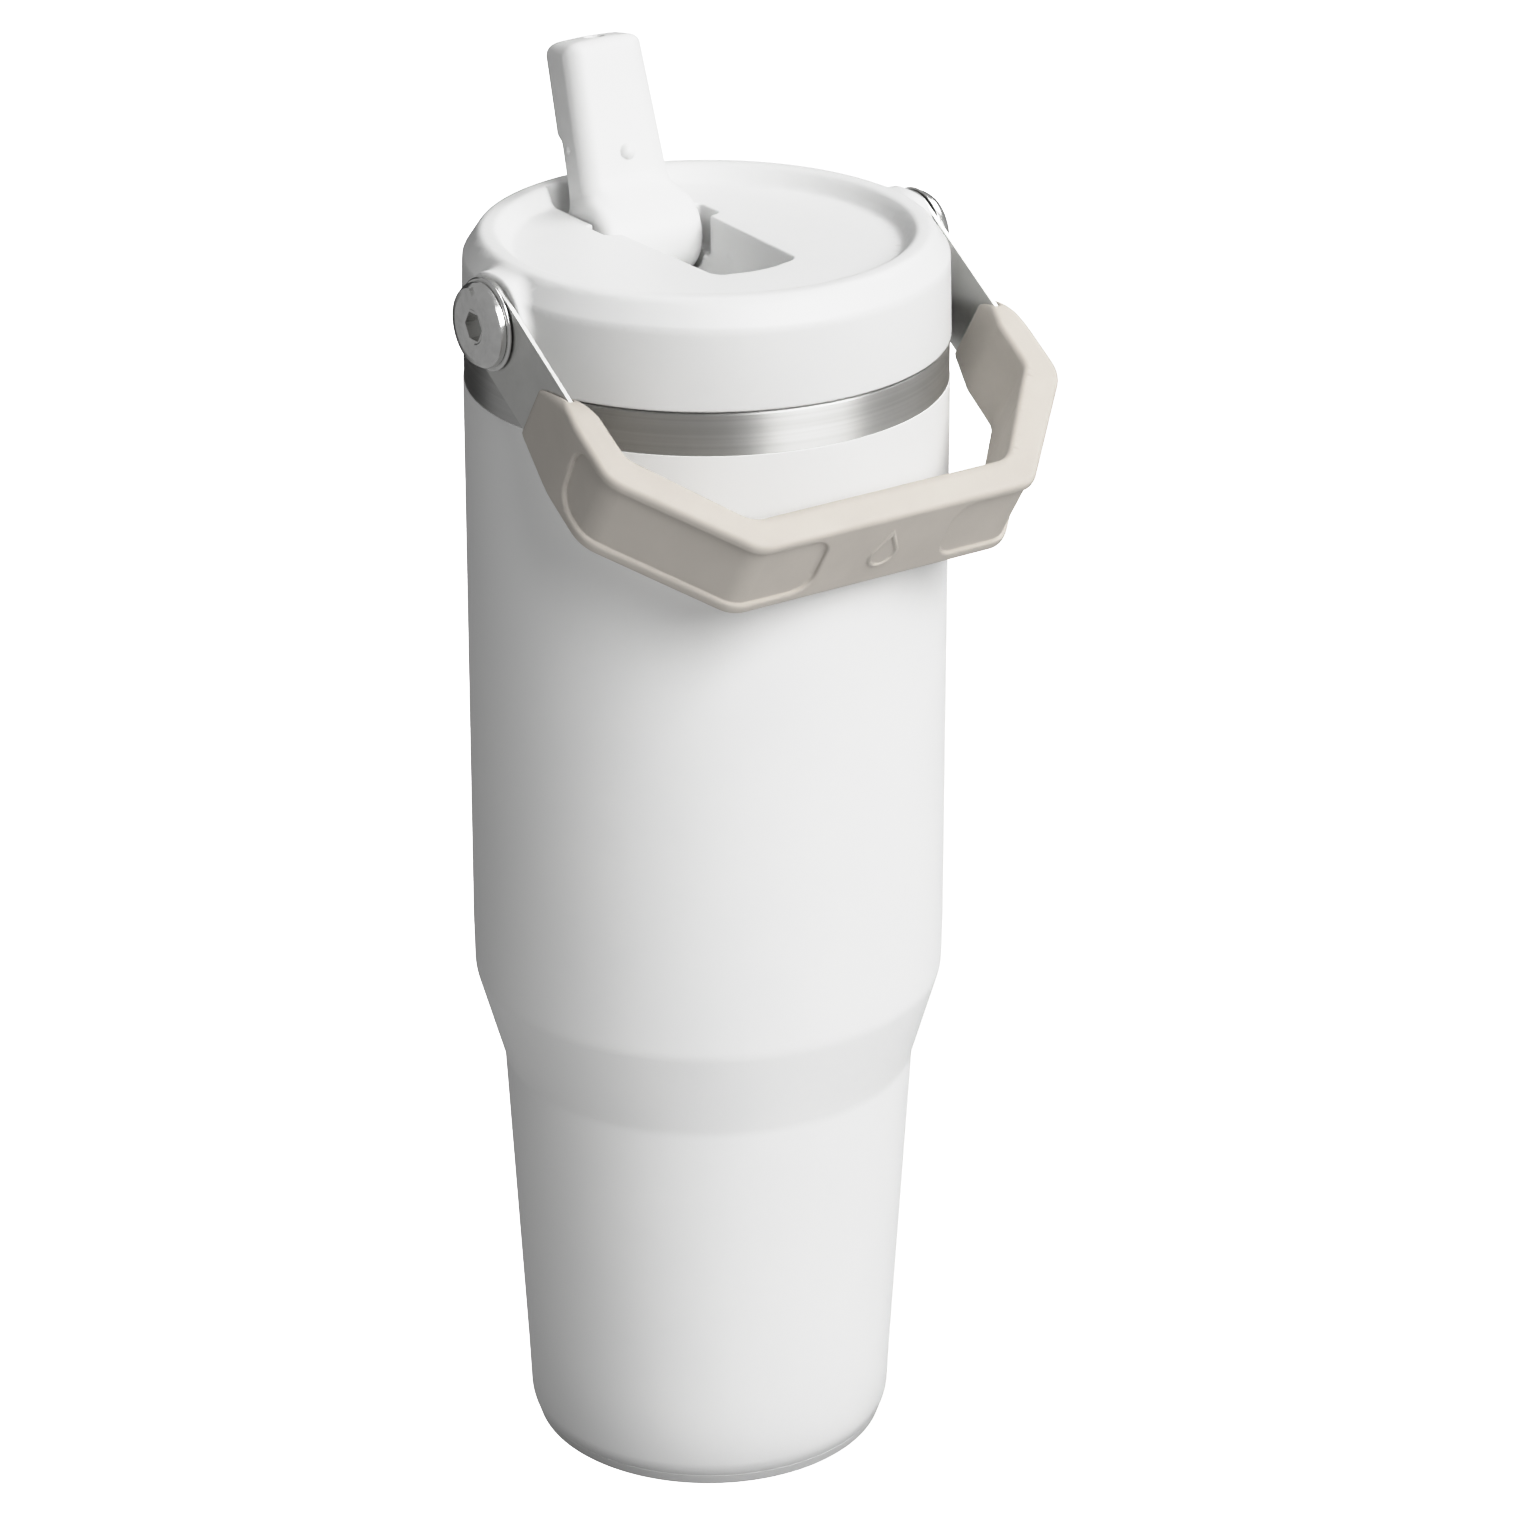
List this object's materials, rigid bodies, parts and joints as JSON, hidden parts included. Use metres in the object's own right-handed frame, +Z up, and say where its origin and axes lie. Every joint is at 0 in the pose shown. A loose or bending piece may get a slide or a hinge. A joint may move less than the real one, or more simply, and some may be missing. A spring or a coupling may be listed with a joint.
{
  "type": "insulated tumbler",
  "caption": "Double-wall insulated tumbler with slim cup-holder base, screw lid, flip-up straw spout and a swinging bail handle with a moulded grip.",
  "frame": {"origin": "centre of the flat base, where the tumbler stands on a surface", "axes": "+Z up along the tumbler's axis to the lid, X along the handle's pivot axis, -Y towards the hanging handle, +Y towards the spout hinge"},
  "size_m": [0.0984, 0.1044, 0.2691],
  "materials": {
    "powder_coat": "fine-textured matt white powder coat",
    "bare_steel": "brushed stainless steel",
    "polished_steel": "polished stainless steel",
    "lid_plastic": "satin white moulded plastic",
    "grip_rubber": "soft-touch beige overmould",
    "silicone": "translucent white silicone",
    "clear_plastic": "clear plastic",
    "brass": "plain brass"
  },
  "bodies": {
    "vessel": {"outer_shell": "powder_coat", "inner_liner": "bare_steel", "outer_bottom": "bare_steel", "base_cap": "powder_coat", "vacuum_seal": "polished_steel", "getter_pellet": "bare_steel"},
    "lid": {"lid_cap": "lid_plastic", "lid_plug": "lid_plastic", "lid_gasket": "silicone", "hub_seal": "silicone", "straw_tube": "clear_plastic", "vent_valve": "silicone", "spout_pin_left": "polished_steel", "spout_pin_right": "polished_steel", "threaded_insert_left": "brass", "threaded_insert_right": "brass", "pivot_screw_left": "polished_steel", "pivot_screw_right": "polished_steel", "pivot_washer_left": "polished_steel", "pivot_washer_right": "polished_steel"},
    "spout": {"spout_body": "lid_plastic"},
    "handle": {"handle_strap": "bare_steel", "handle_grip": "grip_rubber", "pivot_bush_left": "silicone", "pivot_bush_right": "silicone"}
  },
  "joints": [
    {"name": "lid_lift", "type": "slide", "parent": "vessel", "child": "lid", "axis": [0, 0, 1], "range_m": [0, 0.215]},
    {"name": "spout_flip", "type": "hinge", "parent": "lid", "child": "spout", "pos_m": [0, 0.0236, 0.2332], "axis": [1, 0, 0], "range_deg": [0, 107.6]},
    {"name": "handle_swing", "type": "hinge", "parent": "lid", "child": "handle", "pos_m": [0, 0, 0.2319], "axis": [-1, 0, 0], "range_deg": [0, 244]}
  ]
}
